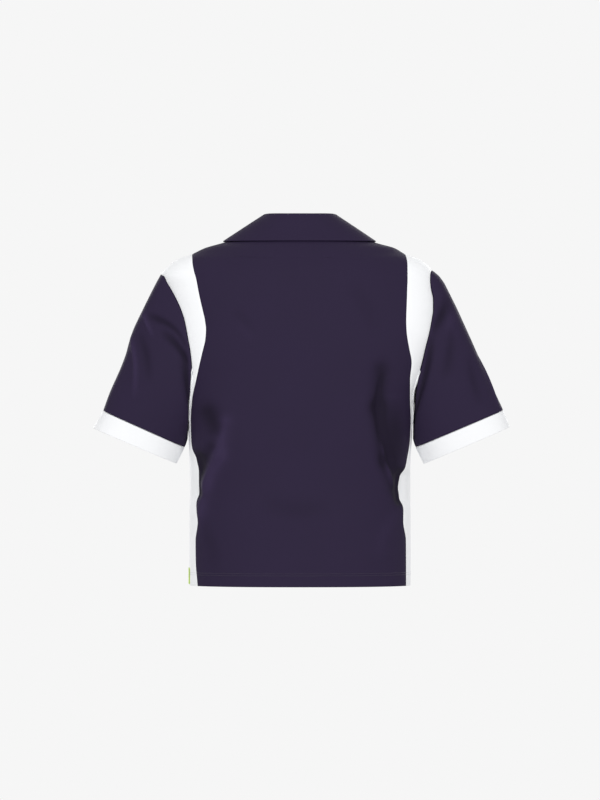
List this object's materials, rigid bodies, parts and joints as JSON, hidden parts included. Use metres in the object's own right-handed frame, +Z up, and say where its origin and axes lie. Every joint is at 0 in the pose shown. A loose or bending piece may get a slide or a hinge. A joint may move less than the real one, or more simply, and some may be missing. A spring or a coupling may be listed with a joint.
{
  "type": "polo shirt",
  "caption": "Cropped short-sleeve polo shirt with a folded collar, contrast curved side panels and cuff bands, filled out as when worn.",
  "frame": {"origin": "middle of the neck opening", "axes": "+X to the wearer's left, +Y to the back, +Z up; the front faces -Y"},
  "size_m": [0.6249, 0.2244, 0.5564],
  "materials": {
    "navy_jersey": "smooth matte-satin knit",
    "white_jersey": "smooth matte knit",
    "lime_jersey": "matte woven tab",
    "button_plastic": "satin plastic"
  },
  "bodies": {
    "root": {"back": "navy_jersey", "front": "navy_jersey", "side_panel_left": "white_jersey", "side_panel_right": "white_jersey", "sleeve_left": "navy_jersey", "sleeve_right": "navy_jersey", "cuff_left": "white_jersey", "cuff_right": "white_jersey", "collar": "navy_jersey", "placket_over": "navy_jersey", "placket_under": "navy_jersey", "button_1": "button_plastic", "button_2": "button_plastic", "button_3": "button_plastic", "side_tab": "lime_jersey"}
  },
  "joints": []
}
